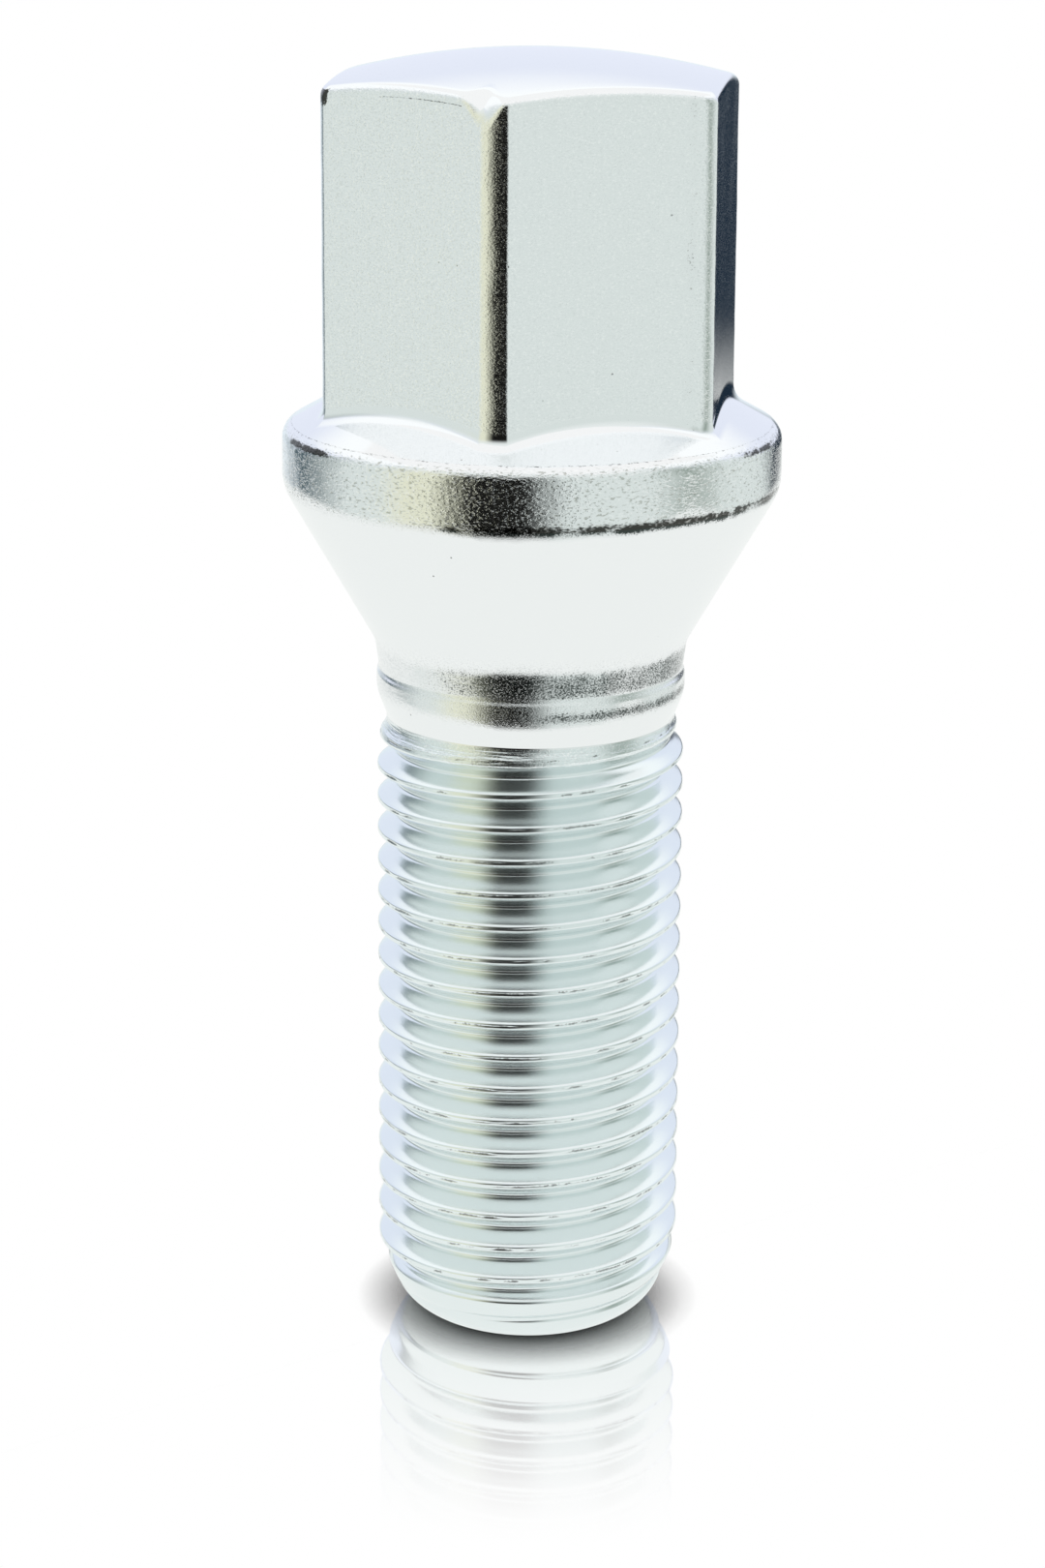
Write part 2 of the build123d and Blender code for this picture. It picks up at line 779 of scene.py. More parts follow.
@dataclass
class ForgedSkin:
    """Unevenness and grain that forging leaves on the body, with painted shade, painted dark reflections and
    dark marks. Millimetres and radians.

    A change is the start and end of a soft step, counted from the station that it stands at. A rim mark
    is an angle and a strength.
    """

    form: ForgedBody

    # Unevenness of the band, the walls and the raised lips beside the hexagon's edges
    band_depth: float = 0.3
    band_drop: float = 0.4
    band_ripple: float = 0.015
    band_rough: Roughness = Roughness(1.3, 0.5, 1.0)
    wall_margin: float = 0.02
    wall_swell: Patches = Patches(0.0, 0.012, 3.0)
    corner_swell: Patches = Patches(0.0, 0.012, 0.7)
    lip_height: float = 0.045
    lip_level: float = 0.7
    lip_rough: Roughness = Roughness(0.6, 0.25, 0.6)

    # Strength of the grain
    band_margin: float = 0.2
    cone_grain: float = 0.07
    cone_change: Point = (-0.1, 0.9)
    neck_grain: float = 0.1
    neck_change: Point = (-0.3, 0.0)
    root_margin: float = 0.4
    dome_margin: float = 0.1
    smooth_grain: float = 0.06
    flat_grain: tuple[float, ...] = (0.9, 0.4, 0.8, 0.6, 1.0, 1.8)
    corner_grain: float = 1.7

    # Painted dark reflection on the neck and along the bead
    neck_top: float = 0.3
    neck_stretch: Stretch = Stretch(-0.6292, -0.4, 0.6)
    neck_dark: Patches = Patches(0.57, 0.12, 1.1)
    neck_ragged: Patches = Patches(0.0, 0.2, 0.4)
    shank_change: Point = (-0.05, 0.2)
    seat_change: Point = (-0.35, 0.25)
    bead_stretch: Stretch = Stretch(-0.4292, 0.35, 0.75)
    bead_dark: Patches = Patches(0.6, 0.15, 0.5)
    bead_rise: float = 0.3
    bead_half: float = 0.55

    # Dark on the collar's band: a painted dark reflection along its lower edge, a painted shade line at the
    # rim's end and two dark marks
    speck: Roughness = Roughness(0.6, 0.2, 0.6)
    band_dark_depth: float = 0.6
    band_dark_rise: float = 0.3
    band_dark: float = 0.95
    band_speck: float = 0.65
    under_stretch: Stretch = Stretch(-0.4292, -0.3, 0.5)
    under_rise: float = 0.08
    under_half: float = 0.1
    under_widening: float = 0.28
    rim_drop: float = 0.14
    rim_half: float = 0.18
    # Darkness of the painted shade line at the end of the rim's rounding
    rim_shade_line: float = 0.42
    rim_marks: tuple[Point, ...] = ((3.78, 1.5), (5.98, 1.0))
    rim_mark_change: Point = (0.1, 0.24)

    # Dark marks on the hexagon: on the lips, at the left corner and under the left edge of the dome
    wall_start: float = 1.0
    lip_dark: float = 0.35
    lip_speck: float = 0.5
    left_side: int = 5
    edge_setback: float = 0.42
    left_corner_share: float = 0.06
    left_corner_change: Point = (0.2, 0.5)
    left_corner_speck: float = 0.2
    left_line_share: float = 0.4
    left_line_half: float = 0.03
    left_line_dark: float = 0.38
    left_line_rise: float = 0.35

    def uneven(self, column: Column, radius: float, height: float) -> float:
        """Small radial unevenness at a point, in millimetres."""
        form = self.form
        place = around(radius, column.angle, height)
        if radius > form.collar_r - self.band_depth and height > form.collar_start - self.band_drop:
            return self.band_ripple * self.band_rough.at(place)
        if height < form.rim_top or radius < column.hex_r - self.wall_margin:
            return 0.0
        lip = self.lip_height * column.lip**2 * (self.lip_level + self.lip_rough.at(place))
        return self.wall_swell.at(place) + column.corner * self.corner_swell.at(place) + lip

    def grain_of(self, column: Column, radius: float, height: float) -> float:
        """How strongly the grain shows at a point, as a multiple of the finish's own grain."""
        form = self.form
        if height < form.collar_start - self.band_margin:
            neck_share = soft_step(*self.neck_change, height - form.bead_start)
            cone_share = soft_step(*self.cone_change, height - form.seat_start)
            return mix(self.neck_grain, 1.0, neck_share) * mix(1.0, self.cone_grain, cone_share)
        if radius > form.collar_r - self.band_margin:
            return 1.0
        wall_start = form.slope_height(column.hex_r) + self.root_margin
        if height < wall_start or radius < column.hex_r - self.dome_margin:
            return self.smooth_grain
        return mix(self.flat_grain[column.side], self.corner_grain, column.corner)

    def painted_dark_and_marks_of(self, column: Column, radius: float, height: float) -> float:
        """How dark a point is painted, from 0 to about 1: painted dark reflections and dark marks."""
        form = self.form
        place = around(radius, column.angle, height)
        if height < form.seat_start + self.neck_top:
            return max(self.neck_painted_reflection(column, place), self.bead_painted_reflection(column, place))
        speck = self.speck.at(place)
        band_top = form.rim_top + self.band_dark_rise
        if radius > form.collar_r - self.band_dark_depth and height < band_top:
            darkest = max(self.under_painted_reflection(column, height), self.rim_mark_darkness(column, height))
            return darkest * (self.band_dark + self.band_speck * speck)
        if height < form.rim_top + self.wall_start or radius < column.hex_r - self.dome_margin:
            return 0.0
        return self.wall_mark_darkness(column, height, speck)

    def neck_painted_reflection(self, column: Column, place: Vector) -> float:
        """Painted dark reflection between the waist and the seat, strongest on the right."""
        ragged = place.z + self.neck_ragged.at(place)
        worn = soft_step(*self.shank_change, place.z - self.form.shank_start)
        faded = 1 - soft_step(*self.seat_change, ragged - self.form.seat_start)
        return self.neck_dark.at(place) * self.neck_stretch.share(column.angle) * worn * faded

    def bead_painted_reflection(self, column: Column, place: Vector) -> float:
        """Painted dark reflection along the bead, on the right only."""
        away = abs(place.z - self.form.bead_start - self.bead_rise)
        faded = 1 - soft_step(0.0, self.bead_half, away)
        return self.bead_dark.at(place) * self.bead_stretch.share(column.angle) * faded

    def under_painted_reflection(self, column: Column, height: float) -> float:
        """Painted dark reflection along the lower edge of the collar's band, strongest on the right."""
        share = self.under_stretch.share(column.angle)
        half = self.under_half + self.under_widening * share
        return share * peak(height, self.form.collar_start + self.under_rise, half)

    def rim_mark_darkness(self, column: Column, height: float) -> float:
        """Dark marks in two short stretches along the collar's rim."""
        marks = []
        for angle, strength in self.rim_marks:
            away = abs(column.angle % FULL_TURN - angle)
            marks.append(strength * (1 - soft_step(*self.rim_mark_change, away)))
        return max(marks) * peak(height, self.form.rim_top - self.rim_drop, self.rim_half)

    def wall_mark_darkness(self, column: Column, height: float, speck: float) -> float:
        """Dark marks on the hexagon's walls.

        Args:
            column: The upright line.
            height: Height on that line.
            speck: Unevenness of the marks there.

        Returns:
            The amount, from 0 to about 1.
        """
        if column.lip > 0.0:
            return column.lip * (self.lip_dark + self.lip_speck * speck)
        if column.side != self.left_side:
            return 0.0
        under_dome = self.form.dome_height(column.hex_r) - self.edge_setback - height
        if column.share < self.left_corner_share:
            return 1.0 - soft_step(*self.left_corner_change, under_dome + self.left_corner_speck * speck)
        if column.share > self.left_line_share and abs(under_dome - self.form.hold) < self.left_line_half:
            return self.left_line_dark + self.left_line_rise * column.share
        return 0.0


# Shader nodes, and the groups that the plated finishes share


class NodeSheet:
    """A node tree with short calls for adding and joining nodes."""

    def __init__(self, tree: bpy.types.NodeTree) -> None:
        """Keep the tree that the calls work on."""
        self.tree = tree

    def join(self, source: object, target: bpy.types.NodeSocket) -> None:
        """Link an output to an input, or set the input's own value.

        Args:
            source: An output, a number, a vector or a colour.
            target: The input.
        """
        if isinstance(source, bpy.types.NodeSocket):
            self.tree.links.new(source, target)
        elif target.type == "RGBA":
            target.default_value = (*source, 1.0)
        else:
            target.default_value = source

    def add(self, kind: str, inputs: Inputs | None = None, **settings: object) -> bpy.types.Node:
        """Add a node.

        Args:
            kind: Name of the node type.
            inputs: What is joined to the node's inputs, by their names or numbers.
            settings: Properties of the node.

        Returns:
            The new node.
        """
        node = self.tree.nodes.new(kind)
        for name, value in settings.items():
            setattr(node, name, value)
        for name, source in (inputs or {}).items():
            self.join(source, node.inputs[name])
        return node

    def math(self, operation: str, first: object, second: object = 0.0) -> bpy.types.NodeSocket:
        """Output of a Math node for two outputs or numbers."""
        return self.add("ShaderNodeMath", {0: first, 1: second}, operation=operation).outputs[0]

    def step(self, value: object, low: object, high: object) -> bpy.types.NodeSocket:
        """Smooth rise from 0 at low to 1 at high."""
        limits = {"Value": value, "From Min": low, "From Max": high}
        return self.add("ShaderNodeMapRange", limits, interpolation_type="SMOOTHSTEP").outputs["Result"]

    def blend(self, share: object, first: object, second: object) -> bpy.types.NodeSocket:
        """Colour between two colours."""
        colours = {MIX_SHARE: share, MIX_FIRST: first, MIX_SECOND: second}
        return self.add("ShaderNodeMix", colours, data_type="RGBA").outputs[MIX_RESULT]

    def shade(self, share: object, first: bpy.types.Node, second: bpy.types.Node) -> bpy.types.Node:
        """Shader between two shaders."""
        return self.add("ShaderNodeMixShader", {0: share, 1: first.outputs[0], 2: second.outputs[0]})


def start_group(
    name: str,
    inputs: dict[str, str],
    outputs: dict[str, str],
) -> tuple[NodeSheet, bpy.types.NodeOutputs, bpy.types.NodeInputs]:
    """Start a shader node group.

    Args:
        name: Name of the group.
        inputs: Names of its inputs, with the kind of each.
        outputs: Names of its outputs, with the kind of each.

    Returns:
        The sheet, what the group is given and what it has to result in.
    """
    tree = bpy.data.node_groups.new(name, "ShaderNodeTree")
    for socket, kind in inputs.items():
        tree.interface.new_socket(socket, in_out="INPUT", socket_type=f"NodeSocket{kind}")
    for socket, kind in outputs.items():
        tree.interface.new_socket(socket, in_out="OUTPUT", socket_type=f"NodeSocket{kind}")
    sheet = NodeSheet(tree)
    return sheet, sheet.add("NodeGroupInput").outputs, sheet.add("NodeGroupOutput").inputs


def start_material(name: str) -> tuple[bpy.types.Material, NodeSheet, bpy.types.NodeSocket]:
    """Start a material without a shader.

    Args:
        name: Name of the material.

    Returns:
        The material, its sheet and the input for its surface.
    """
    material = bpy.data.materials.new(name)
    material.use_nodes = True
    sheet = NodeSheet(material.node_tree)
    sheet.tree.nodes.clear()
    return material, sheet, sheet.add("ShaderNodeOutputMaterial").inputs["Surface"]


@dataclass
class PlatingGroups:
    """Node groups for grain, pits and turning lines in the plating."""

    detail: float = 2.0
    grain_tops: Point = (0.55, 0.7)
    grain_hollows: Point = (0.45, 0.3)
    grain_swell: float = 0.4
    grain_middle: float = 0.5
    pit_rim: Point = (0.13, 0.05)
    line_drift: float = 0.0004

    def __post_init__(self) -> None:
        """Build each group once."""
        self.grain = self.build_grain()
        self.pits = self.build_pits()
        self.lines = self.build_lines()

    def build_grain(self) -> bpy.types.NodeTree:
        """Orange-peel grain: a height, masks of its tops and hollows, and an even speckle around 0."""
        sheet, given, result = start_group(
            "forged_grain",
            {"Scale": "Float", "Amount": "Float", "Flatness": "Float"},
            {"Height": "Float", "Tops": "Float", "Hollows": "Float", "Speckle": "Float"},
        )
        place = sheet.add("ShaderNodeTexCoord").outputs["Object"]
        stretch = sheet.add("ShaderNodeCombineXYZ", {"X": 1.0, "Y": 1.0, "Z": given["Flatness"]})
        flatten = sheet.add("ShaderNodeMapping", {"Vector": place, "Scale": stretch.outputs[0]})
        noise_inputs = {"Vector": flatten.outputs[0], "Scale": given["Scale"], "Detail": self.detail}
        grain = sheet.add("ShaderNodeTexNoise", noise_inputs).outputs["Fac"]
        tops = sheet.step(grain, *self.grain_tops)
        hollows = sheet.step(grain, *self.grain_hollows)
        swell = sheet.math("MULTIPLY", grain, self.grain_swell)
        relief = sheet.math("ADD", swell, sheet.math("SUBTRACT", tops, hollows))
        for name, value in {"Height": relief, "Tops": tops, "Hollows": hollows}.items():
            sheet.join(sheet.math("MULTIPLY", value, given["Amount"]), result[name])
        sheet.join(sheet.math("SUBTRACT", grain, self.grain_middle), result["Speckle"])
        return sheet.tree

    def build_pits(self) -> bpy.types.NodeTree:
        """Sparse small pits: a depth, and a mask of their bottoms, which get painted shade."""
        sheet, given, result = start_group(
            "small_pits",
            {"Scale": "Float", "Share": "Float"},
            {"Depth": "Float", "Mask": "Float"},
        )
        place = sheet.add("ShaderNodeTexCoord").outputs["Object"]
        cell_inputs = {"Vector": place, "Scale": given["Scale"]}
        cells = sheet.add("ShaderNodeTexVoronoi", cell_inputs, feature="F1").outputs
        chosen = sheet.add("ShaderNodeSeparateColor", {"Color": cells["Color"]}).outputs["Red"]
        kept = sheet.math("LESS_THAN", chosen, given["Share"])
        mask = sheet.math("MULTIPLY", sheet.step(cells["Distance"], *self.pit_rim), kept)
        sheet.join(mask, result["Mask"])
        sheet.join(sheet.math("MULTIPLY", mask, -1.0), result["Depth"])
        return sheet.tree

    def build_lines(self) -> bpy.types.NodeTree:
        """Fine lines that run round the axis, as a height."""
        sheet, given, result = start_group(
            "turning_lines",
            {"Scale": "Float", "Amount": "Float"},
            {"Height": "Float"},
        )
        place = sheet.add("ShaderNodeTexCoord").outputs["Object"]
        parts = sheet.add("ShaderNodeSeparateXYZ", {"Vector": place}).outputs
        squares = [sheet.math("POWER", parts[axis], 2.0) for axis in "XY"]
        reach = sheet.math("SQRT", sheet.math("ADD", *squares))
        angle = sheet.math("ARCTAN2", parts["Y"], parts["X"])
        drift = sheet.math("MULTIPLY", angle, self.line_drift)
        whole = sheet.add("ShaderNodeCombineXYZ", {"X": reach, "Y": drift, "Z": parts["Z"]})
        noise_inputs = {"Vector": whole.outputs[0], "Scale": given["Scale"], "Detail": self.detail}
        streaks = sheet.add("ShaderNodeTexNoise", noise_inputs).outputs["Fac"]
        sheet.join(sheet.math("MULTIPLY", streaks, given["Amount"]), result["Height"])
        return sheet.tree


@dataclass(frozen=True)
class PlatedFinish:
    """Bright plating over one stretch of the steel. Sizes in millimetres."""

    name: str
    colour: Colour = (0.9, 0.915, 0.92)
    # Colours of the grain's tops and hollows: a painted glint and painted shade
    bright: Colour = (0.98, 0.985, 0.985)
    painted_hollow_shade: Colour = (0.78, 0.795, 0.8)
    # Colour of the painted shade, the painted dark reflections and the dark marks
    shade: Colour = (0.06, 0.06, 0.055)
    roughness: float = 0.07
    hollow_roughness: float = 0.08
    grain_size: float = 0.11
    grain_height: float = 0.002
    grain_flatness: float = 1.6
    pit_spacing: float = 0.45
    pit_share: float = 0.03
    pit_depth: float = 0.012
    # Strength of the painted shade in the pits
    pit_shade: float = 0.6
    line_spacing: float = 0.12
    line_height: float = 0.002
    dark_breaking: float = 1.4
    dark_edge: Point = (0.3, 0.75)

    def build(self, groups: PlatingGroups) -> bpy.types.Material:
        """Build the finish's material.

        Args:
            groups: The node groups that the finishes share.

        Returns:
            The material.
        """
        material = bpy.data.materials.new(self.name)
        material.use_nodes = True
        sheet = NodeSheet(material.node_tree)
        shader = sheet.tree.nodes["Principled BSDF"].inputs
        amount = sheet.add("ShaderNodeAttribute", attribute_name=GRAIN_LAYER).outputs["Fac"]
        grain_inputs = {
            "Scale": 1 / (self.grain_size * MM),
            "Amount": amount,
            "Flatness": self.grain_flatness,
        }
        grain = sheet.add("ShaderNodeGroup", grain_inputs, node_tree=groups.grain).outputs
        pit_inputs = {"Scale": 1 / (self.pit_spacing * MM), "Share": self.pit_share}
        pits = sheet.add("ShaderNodeGroup", pit_inputs, node_tree=groups.pits).outputs
        line_share = sheet.math("MULTIPLY", amount, self.line_height / self.grain_height)
        line_inputs = {"Scale": 1 / (self.line_spacing * MM), "Amount": line_share}
        lines = sheet.add("ShaderNodeGroup", line_inputs, node_tree=groups.lines).outputs
        relief = sheet.math("ADD", grain["Height"], lines["Height"])
        hollow = sheet.math("MULTIPLY", pits["Depth"], self.pit_depth / self.grain_height)
        height = sheet.math("ADD", relief, hollow)
        bump_inputs = {"Height": height, "Distance": self.grain_height * MM, "Strength": 1.0}
        bump = sheet.add("ShaderNodeBump", bump_inputs)
        rough = sheet.math("MULTIPLY", grain["Hollows"], self.hollow_roughness)
        sheet.join(1.0, shader["Metallic"])
        sheet.join(self.tint(sheet, grain, pits), shader["Base Color"])
        sheet.join(sheet.math("ADD", rough, self.roughness), shader["Roughness"])
        sheet.join(bump.outputs["Normal"], shader["Normal"])
        return material

    def tint(
        self,
        sheet: NodeSheet,
        grain: bpy.types.NodeOutputs,
        pits: bpy.types.NodeOutputs,
    ) -> bpy.types.NodeSocket:
        """Colour of the plating, with painted glints and shade in its grain, painted shade in pits and
        seams, painted dark reflections and dark marks.

        Args:
            sheet: The material's sheet.
            grain: Outputs of the grain.
            pits: Outputs of the pits.

        Returns:
            The colour.
        """
        # Painted shade in seams and pits, painted dark reflections and dark marks, broken up by the grain
        marks = sheet.add("ShaderNodeAttribute", attribute_name=DARK_LAYER).outputs["Fac"]
        broken = sheet.math("ADD", marks, sheet.math("MULTIPLY", grain["Speckle"], self.dark_breaking))
        scale = sheet.step(broken, *self.dark_edge)
        dark = sheet.math("MAXIMUM", scale, sheet.math("MULTIPLY", pits["Mask"], self.pit_shade))
        # Painted shade in the grain's hollows, and painted glints on its tops
        plating = sheet.blend(grain["Hollows"], self.colour, self.painted_hollow_shade)
        glint = sheet.blend(grain["Tops"], plating, self.bright)
        return sheet.blend(dark, glint, self.shade)


@dataclass
class WheelBolt:
    """The whole bolt: tip, thread and forged body in one skin."""

    thread: RolledThread
    body: ForgedBody
    finishes: dict[Zone, PlatedFinish] = field(
        default_factory=lambda: {
            Zone.HEAD: PlatedFinish(
                "forged_head_plating",
                # White painted glints on the grain's tops, and painted shade in its hollows
                bright=(1.0, 1.0, 1.0),
                painted_hollow_shade=(0.83, 0.845, 0.85),
            ),
            Zone.COLLAR: PlatedFinish(
                "forged_collar_plating",
                # Dark painted shade in the grain's hollows
                painted_hollow_shade=(0.56, 0.57, 0.54),
                grain_size=0.2,
                grain_height=0.0065,
                grain_flatness=2.2,
            ),
            Zone.SEAT: PlatedFinish(
                "turned_seat_plating",
                # Colour of the painted dark reflections on the neck, the bead and the band's lower edge
                shade=(0.05, 0.062, 0.058),
                grain_size=0.075,
                grain_height=0.003,
                line_height=0.004,
            ),
            Zone.THREAD: PlatedFinish(
                "rolled_thread_plating",
                colour=(0.84, 0.895, 0.9),
                # Grey painted shade in the rolled seams
                shade=(0.35, 0.37, 0.37),
                pit_share=0.0,
                roughness=0.2,
                line_height=0.04,
            ),
        }
    )

    def build(self) -> bpy.types.Object:
        """Build the bolt's mesh and link it to the scene.

        Returns:
            The bolt.
        """
        skin = bmesh.new()
        for layer in (GRAIN_LAYER, DARK_LAYER):
            skin.verts.layers.float.new(layer)
        lower_ring, upper_ring = self.thread.build(skin)
        self.thread.tip.build(skin, lower_ring)
        self.body.build(skin, upper_ring)
        for face in skin.faces:
            face.smooth = True
        bmesh.ops.scale(skin, vec=(MM, MM, MM), verts=skin.verts[:])
        mesh = bpy.data.meshes.new("threaded_bolt")
        skin.to_mesh(mesh)
        skin.free()
        log.info("threaded_bolt: %d faces", len(mesh.polygons))
        return link_object("threaded_bolt", mesh)

    def dress(self, piece: bpy.types.Object) -> None:
        """Give each stretch of the bolt its plated finish.

        Args:
            piece: The bolt.
        """
        groups = PlatingGroups()
        for zone in Zone:
            piece.data.materials.append(self.finishes[zone].build(groups))


# The studio: camera, floor, surroundings and light


@dataclass
class StudioCamera:
    """The camera at the photograph's viewing angle. Metres and degrees, with the lens in millimetres."""

    lens: float = 79.583
    sensor: float = 36.0
    distance: float = 0.150824
    height: float = 0.069789
    azimuth: float = 8.905
    pitch: float = 12.407
    yaw: float = -0.153
    roll: float = 0.300
    shift_y: float = -0.1633
    clip_start: float = 0.01
    clip_end: float = 20.0

    def build(self) -> None:
        """Place the camera and make it the scene's camera."""
        pitch = math.radians(self.pitch)
        yaw = math.radians(self.yaw)
        roll = math.radians(self.roll)
        ahead = Vector((math.sin(yaw) * math.cos(pitch), math.cos(yaw) * math.cos(pitch), -math.sin(pitch)))
        level = Vector((math.cos(yaw), -math.sin(yaw), 0.0))
        upright = level.cross(ahead)
        right = level * math.cos(roll) + upright * math.sin(roll)
        up = upright * math.cos(roll) - level * math.sin(roll)
        axes = Matrix((right, up, -ahead)).transposed().to_4x4()
        place = Matrix.Translation((0.0, -self.distance, self.height))
        data = bpy.data.cameras.new("studio_camera")
        data.lens = self.lens
        data.sensor_width = self.sensor
        data.shift_y = self.shift_y
        data.clip_start = self.clip_start
        data.clip_end = self.clip_end
        camera = link_object("studio_camera", data)
        camera.matrix_world = Matrix.Rotation(math.radians(self.azimuth), 4, "Z") @ place @ axes
        bpy.context.scene.camera = camera


@dataclass(frozen=True)
class Card:
    """One of the cards that stand round the bolt and show in its metal.

    Its azimuth is in degrees from the camera, and its reach is the distance in metres where it is full.
    """

    azimuth: float
    colour: Colour
    reach: float


PALE_CARD = (0.735, 0.795, 0.775)
GOLD_CARD = (0.81, 0.82, 0.65)
DARK_CARD = (0.008, 0.008, 0.007)
MOSS_CARD = (0.3, 0.36, 0.32)
SLATE_CARD = (0.05, 0.09, 0.11)
NAVY_CARD = (0.012, 0.024, 0.042)
HAZE_CARD = (0.82, 0.9, 0.96)


@dataclass
class Studio:
    """Plain pale floor, soft even light, and darker surroundings that only the metal shows.

    Metres and degrees. A pair is the start and end of a soft change.
    """

    camera_azimuth: float
    floor_half: float = 2.0
    floor_colour: Colour = (0.98, 0.98, 0.98)
    floor_in_metal: Colour = (0.925, 0.945, 0.93)
    floor_mirror: Colour = (1.0, 1.0, 1.0)
    floor_gloss: float = 0.7
    floor_roughness: float = 0.03
    gloss_fade: Point = (0.004, 0.024)
    white_rise: Point = (0.0048, 0.0085)
    contact_reach: float = 0.0022
    contact_depth: float = 1.1
    contact_samples: int = 3
    no_bounce: float = 0.5
    mirror_bounces: float = 2.5
    sky_colour: Colour = (0.83, 0.87, 0.99)
    front_colour: Colour = (0.86, 0.9, 0.89)
    front_change: Point = (0.0, 0.35)
    top_colour: Colour = (1.06, 1.08, 1.09)
    top_change: Point = (0.36, 0.64)
    front_top_change: Point = (0.88, 1.0)
    wall_change: Point = (-0.7, 0.0)
    wall_rise: float = 0.36
    wall_blend: float = 0.34
    back_blend: float = 0.05
    fill_light: float = 0.4
    lamp_size: float = 0.6
    lamp_height: float = 0.43
    lamp_power: float = 1.65
    mat_inner: float = 0.001
    mat_outer: float = 2.0
    mat_height: float = 0.0002
    mat_steps: int = 96
    far_reach: float = 0.4
    reach_start: float = 0.58
    cards: tuple[Card, ...] = (
        Card(-180.0, HAZE_CARD, 0.3),
        Card(-158.0, HAZE_CARD, 0.25),
        Card(-126.0, SLATE_CARD, 0.19),
        Card(-90.0, PALE_CARD, 0.09),
        Card(-74.0, PALE_CARD, 0.09),
        Card(-58.0, GOLD_CARD, 0.085),
        Card(-46.0, GOLD_CARD, 0.075),
        Card(-28.0, DARK_CARD, 0.045),
        Card(-2.0, DARK_CARD, 0.045),
        Card(17.0, PALE_CARD, 0.045),
        Card(56.0, PALE_CARD, 0.06),
        Card(75.0, MOSS_CARD, 0.24),
        Card(98.0, PALE_CARD, 0.1),
        Card(129.0, PALE_CARD, 0.12),
        Card(143.0, NAVY_CARD, 0.2),
        Card(166.0, NAVY_CARD, 0.315),
        Card(172.0, HAZE_CARD, 0.3),
        Card(180.0, HAZE_CARD, 0.3),
    )

    def build(self) -> None:
        """Build the floor, the surroundings and the light."""
        shades = self.build_shades()
        self.build_floor()
        self.build_mat(shades)
        self.build_world(shades)
        self.build_lamp()
        bpy.context.scene.view_settings.view_transform = "Standard"

    def build_floor(self) -> None:
        """Lay the pale glossy floor."""
        half = self.floor_half
        corners = [(-half, -half, 0), (half, -half, 0), (half, half, 0), (-half, half, 0)]
        mesh = bpy.data.meshes.new("studio_floor")
        mesh.from_pydata(corners, [], [(0, 1, 2, 3)])
        mesh.materials.append(self.floor_material())
        floor = link_object("studio_floor", mesh)
        log.info("studio_floor: %.1f m wide", 2 * half)

    def floor_material(self) -> bpy.types.Material:
        """Material of the floor: white, with a contact shadow and a mirror image that fade outwards."""
        material, sheet, surface = start_material("pale_floor")
        path = sheet.add("ShaderNodeLightPath").outputs
        reach = self.reach_of(sheet, sheet.add("ShaderNodeTexCoord").outputs["Object"])
        contact_inputs = {"Distance": self.contact_reach}
        open_sky = sheet.add("ShaderNodeAmbientOcclusion", contact_inputs, samples=self.contact_samples)
        contact = sheet.math("POWER", open_sky.outputs["AO"], self.contact_depth)
        lit = sheet.add("ShaderNodeBsdfDiffuse", {"Color": self.shaded(sheet, self.floor_colour, contact)})
        white = sheet.add("ShaderNodeEmission", {"Strength": contact})
        ground = sheet.shade(sheet.step(reach, *self.white_rise), lit, white)
        image = self.shaded(sheet, self.floor_mirror, contact)
        mirror = sheet.add("ShaderNodeBsdfGlossy", {"Color": image, "Roughness": self.floor_roughness})
        near = sheet.math("SUBTRACT", 1.0, sheet.step(reach, *self.gloss_fade))
        polished = sheet.shade(sheet.math("MULTIPLY", near, self.floor_gloss), ground, mirror)
        glow = {"Color": self.floor_in_metal, "Strength": self.direct_share(sheet, path)}
        in_metal = sheet.add("ShaderNodeEmission", glow)
        sheet.join(sheet.shade(path["Is Glossy Ray"], polished, in_metal).outputs[0], surface)
        return material

    @staticmethod
    def reach_of(sheet: NodeSheet, place: bpy.types.NodeSocket) -> bpy.types.NodeSocket:
        """Distance of a place from the bolt."""
        return sheet.add("ShaderNodeVectorMath", {0: place}, operation="LENGTH").outputs["Value"]

    @staticmethod
    def shaded(sheet: NodeSheet, colour: Colour, share: bpy.types.NodeSocket) -> bpy.types.NodeSocket:
        """Colour times a share."""
        return sheet.add("ShaderNodeVectorMath", {0: colour, "Scale": share}, operation="SCALE").outputs[0]

    def direct_share(self, sheet: NodeSheet, path: bpy.types.NodeOutputs) -> bpy.types.NodeSocket:
        """Mask of the rays that no matt surface has scattered, so that the contact shadow stays dark."""
        return sheet.math("LESS_THAN", path["Diffuse Depth"], self.no_bounce)

    def mirror_share(self, sheet: NodeSheet, path: bpy.types.NodeOutputs) -> bpy.types.NodeSocket:
        """Mask of the rays that the floor mirrors to the sky, which come up through the surroundings."""
        risen = sheet.math("GREATER_THAN", path["Transparent Depth"], self.no_bounce)
        return sheet.math("MULTIPLY", risen, sheet.math("LESS_THAN", path["Ray Depth"], self.mirror_bounces))

